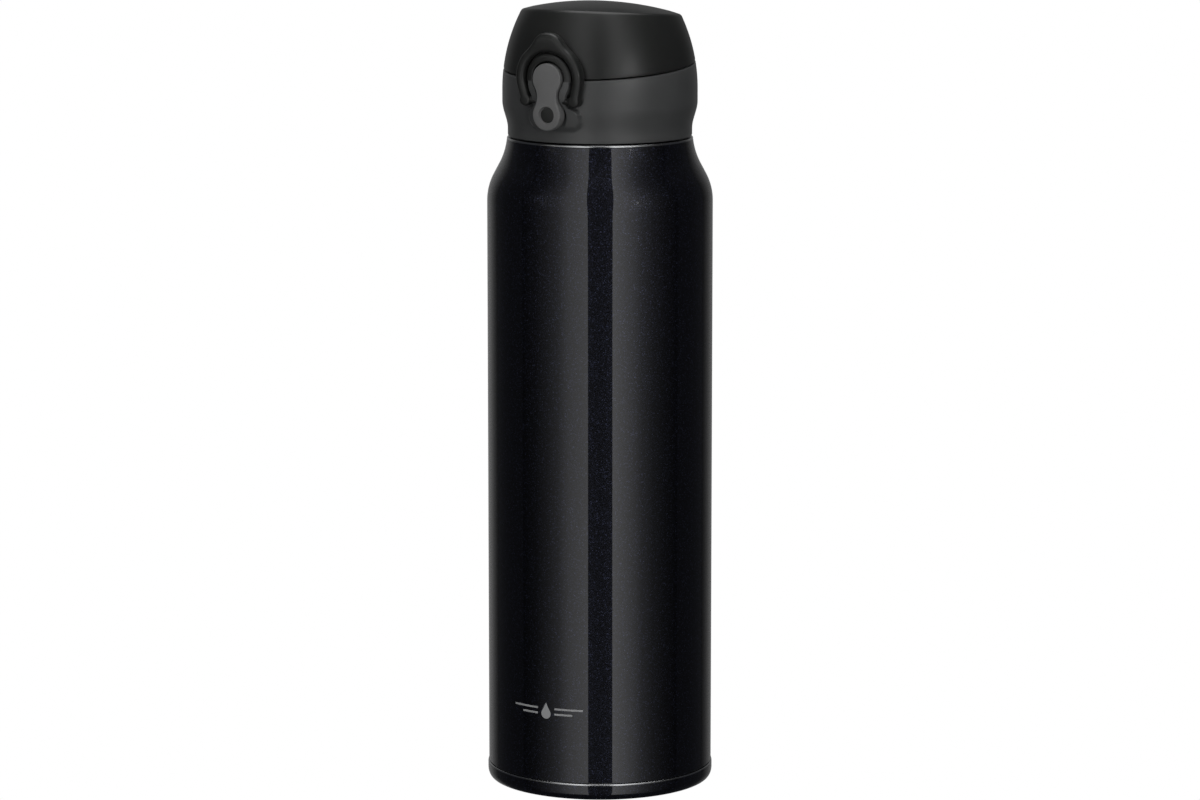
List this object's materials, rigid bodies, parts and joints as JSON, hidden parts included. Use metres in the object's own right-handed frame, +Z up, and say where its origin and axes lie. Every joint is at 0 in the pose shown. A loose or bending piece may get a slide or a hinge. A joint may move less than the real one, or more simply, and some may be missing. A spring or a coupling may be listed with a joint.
{
  "type": "vacuum flask",
  "caption": "Double-walled steel vacuum flask with a screw-on stopper unit, hinged flip lid, release button and swing-up safety ring.",
  "frame": {"origin": "middle of the base, on the surface that the flask stands on", "axes": "+Z up along the bottle's axis; the lock and button face -Y and the lid's hinge is at +Y"},
  "size_m": [0.0756, 0.0756, 0.2623],
  "materials": {
    "body_paint": "black pearl metallic paint",
    "steel": "satin stainless steel",
    "foil": "copper foil",
    "glue": "cured, pale",
    "grey_plastic": "fine matte moulded",
    "button_plastic": "satin moulded",
    "black_plastic": "fine matte moulded",
    "pale_plastic": "satin moulded",
    "silicone": "translucent matte silicone"
  },
  "bodies": {
    "flask_body": {"outer_shell": "body_paint", "outer_bottom": "steel", "vacuum_seal": "steel", "inner_bottle": "steel", "radiation_foil": "foil", "getter_pellet": "glue", "base_cover": "body_paint", "base_adhesive_ring": "glue"},
    "mouth_seal": {"mouth_gasket": "silicone"},
    "stopper": {"collar": "grey_plastic", "spout": "pale_plastic", "spout_seal_ring": "silicone", "hinge_pin": "steel", "hinge_spring": "steel", "button_pin": "steel", "button_spring": "steel"},
    "button": {"push_button": "button_plastic"},
    "safety_ring": {"lock_ring": "black_plastic"},
    "lid": {"lid_shell": "black_plastic", "lid_inner": "pale_plastic", "gasket_holder": "pale_plastic", "lid_gasket": "silicone"}
  },
  "joints": [
    {"name": "stopper_rise", "type": "slide", "parent": "flask_body", "child": "mouth_seal", "axis": [0, 0, 1], "range_m": [0, 0.006]},
    {"name": "stopper_unscrew", "type": "hinge", "parent": "mouth_seal", "child": "stopper", "pos_m": [0, 0, 0.2255], "axis": [0, 0, 1], "range_deg": [0, 540]},
    {"name": "lid_hinge", "type": "hinge", "parent": "stopper", "child": "lid", "pos_m": [0, 0.0326, 0.2426], "axis": [-1, 0, 0], "range_deg": [0, 130], "deforming": ["hinge_spring"]},
    {"name": "safety_ring_swing", "type": "hinge", "parent": "stopper", "child": "safety_ring", "pos_m": [0, -0.0336, 0.23176], "axis": [1, 0, 0], "range_deg": [0, 100]},
    {"name": "button_press", "type": "hinge", "parent": "stopper", "child": "button", "pos_m": [0, -0.034, 0.2356], "axis": [1, 0, 0], "range_deg": [0, 5], "stiffness_Nm_per_rad": 0.05, "deforming": ["button_spring"]}
  ],
  "couplings": [
    {"joint": "stopper_rise", "follows": "stopper_unscrew", "m_per_rad": 0.00063662}
  ]
}
